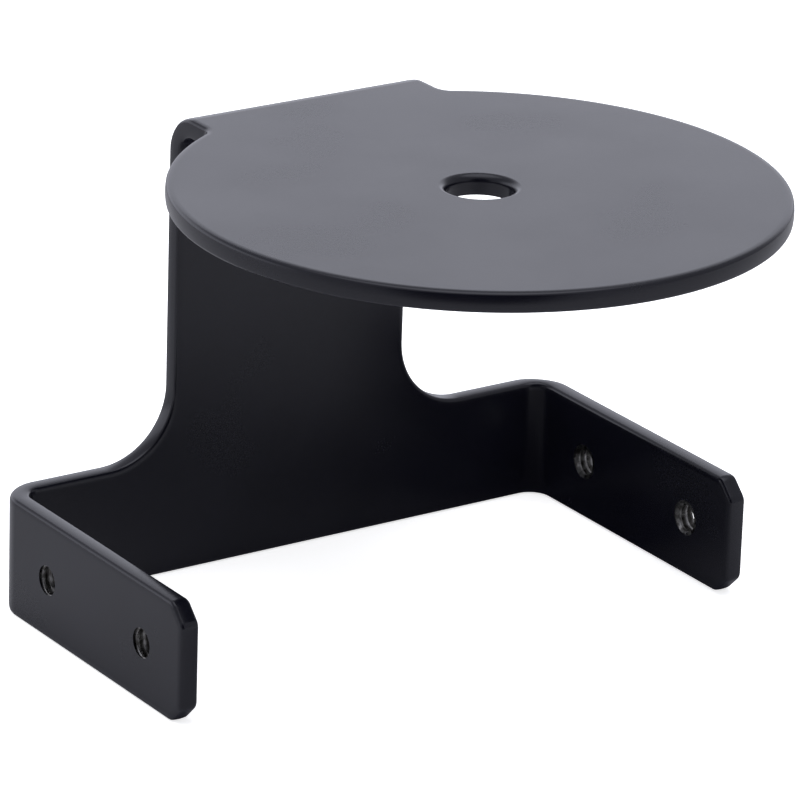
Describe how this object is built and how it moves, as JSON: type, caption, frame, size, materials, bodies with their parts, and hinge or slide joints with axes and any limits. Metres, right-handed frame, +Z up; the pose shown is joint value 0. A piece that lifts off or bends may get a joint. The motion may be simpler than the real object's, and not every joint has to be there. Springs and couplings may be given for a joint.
{
  "type": "hair dryer holder bracket",
  "caption": "Folded steel bracket: round top plate with a centre hole on an upright neck, and a low band whose ends fold forward into ears with tapped holes, black powder coat.",
  "frame": {"origin": "on the floor under the middle of the part: centre of the bounding box at its lowest level", "axes": "+Z up along the centre hole's axis, ears point to -Y, the back of the band and neck faces +Y, +X to the right when the part is seen from the front"},
  "size_m": [0.113, 0.1084, 0.0825],
  "materials": {
    "black_powder_coat": "satin black powder coat",
    "bare_thread_steel": "bare cut steel inside the tapped holes"
  },
  "bodies": {
    "root": {"bracket_plate": "black_powder_coat"}
  },
  "joints": []
}
